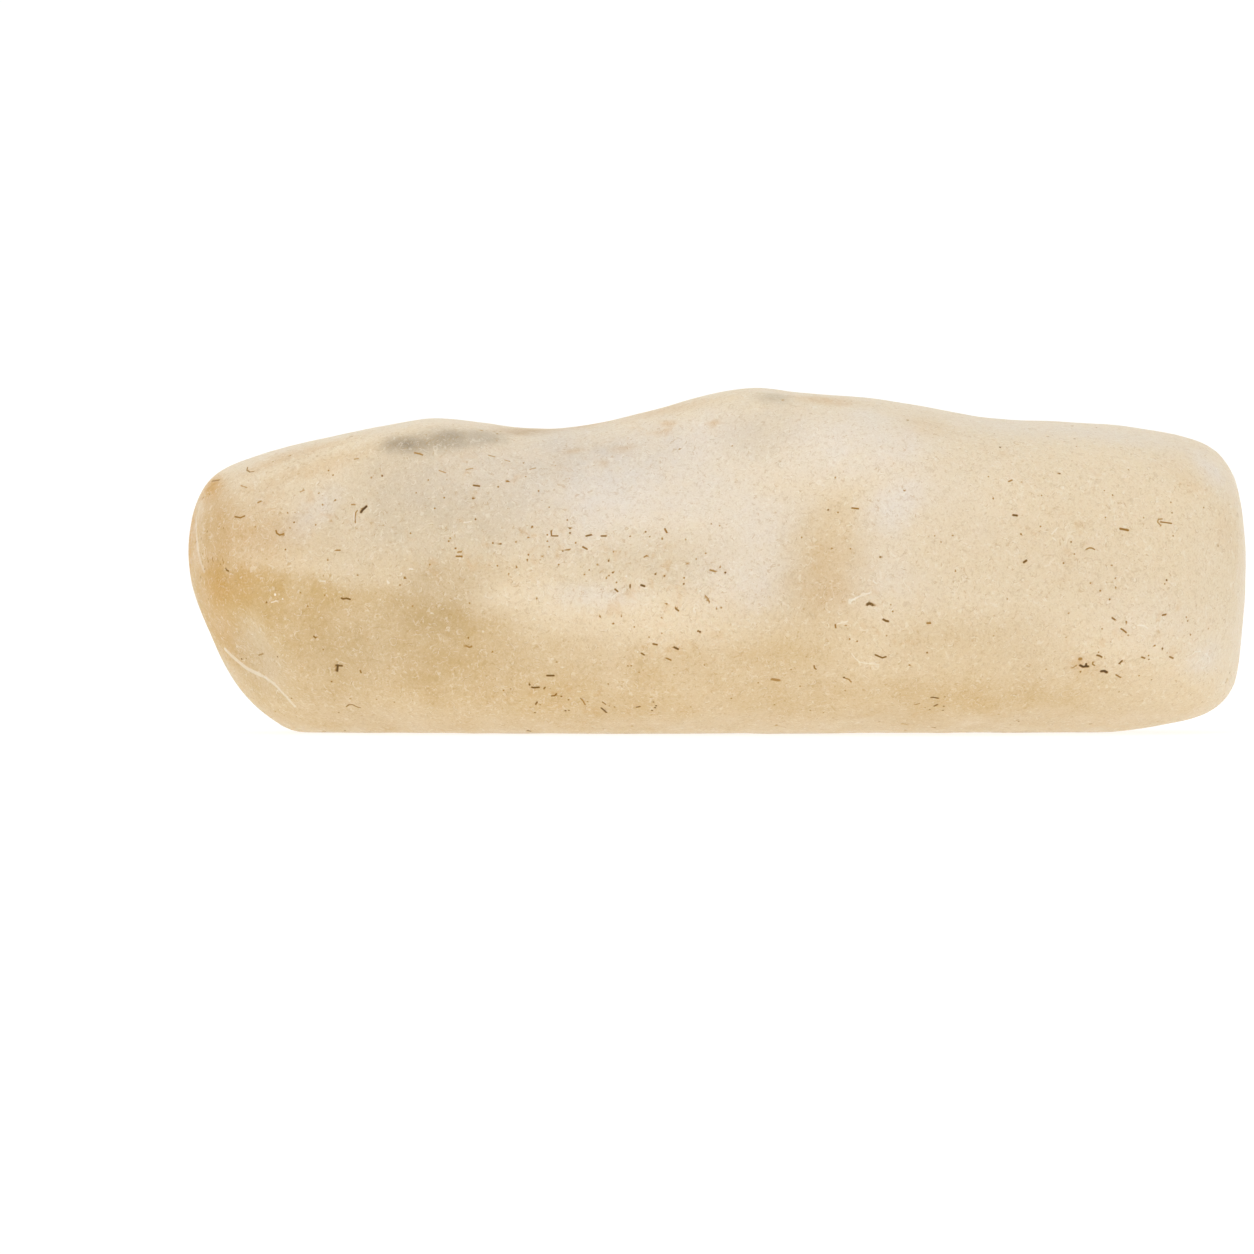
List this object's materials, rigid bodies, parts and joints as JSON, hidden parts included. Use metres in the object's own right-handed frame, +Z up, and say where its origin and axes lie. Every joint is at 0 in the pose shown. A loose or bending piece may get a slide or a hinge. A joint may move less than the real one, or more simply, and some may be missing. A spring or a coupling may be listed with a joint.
{
  "type": "raw libyan desert glass",
  "caption": "Elongated wind-worn lump of pale yellow natural silica glass, with low humps along its top, shallow scooped scars and a worn flat underside to rest on.",
  "frame": {"origin": "on the resting surface, under the middle of the stone's box", "axes": "+X along the stone's length towards its blunt right end, +Y from the broad face shown in the picture to the back, +Z up"},
  "size_m": [0.028, 0.013, 0.0091],
  "materials": {
    "desert_glass": "frosted natural silica glass, pale straw yellow, milky and slightly see-through at its thin edges, wind-worn to a satin skin with tiny brown pits"
  },
  "bodies": {
    "root": {"desert_glass": "desert_glass"}
  },
  "joints": []
}
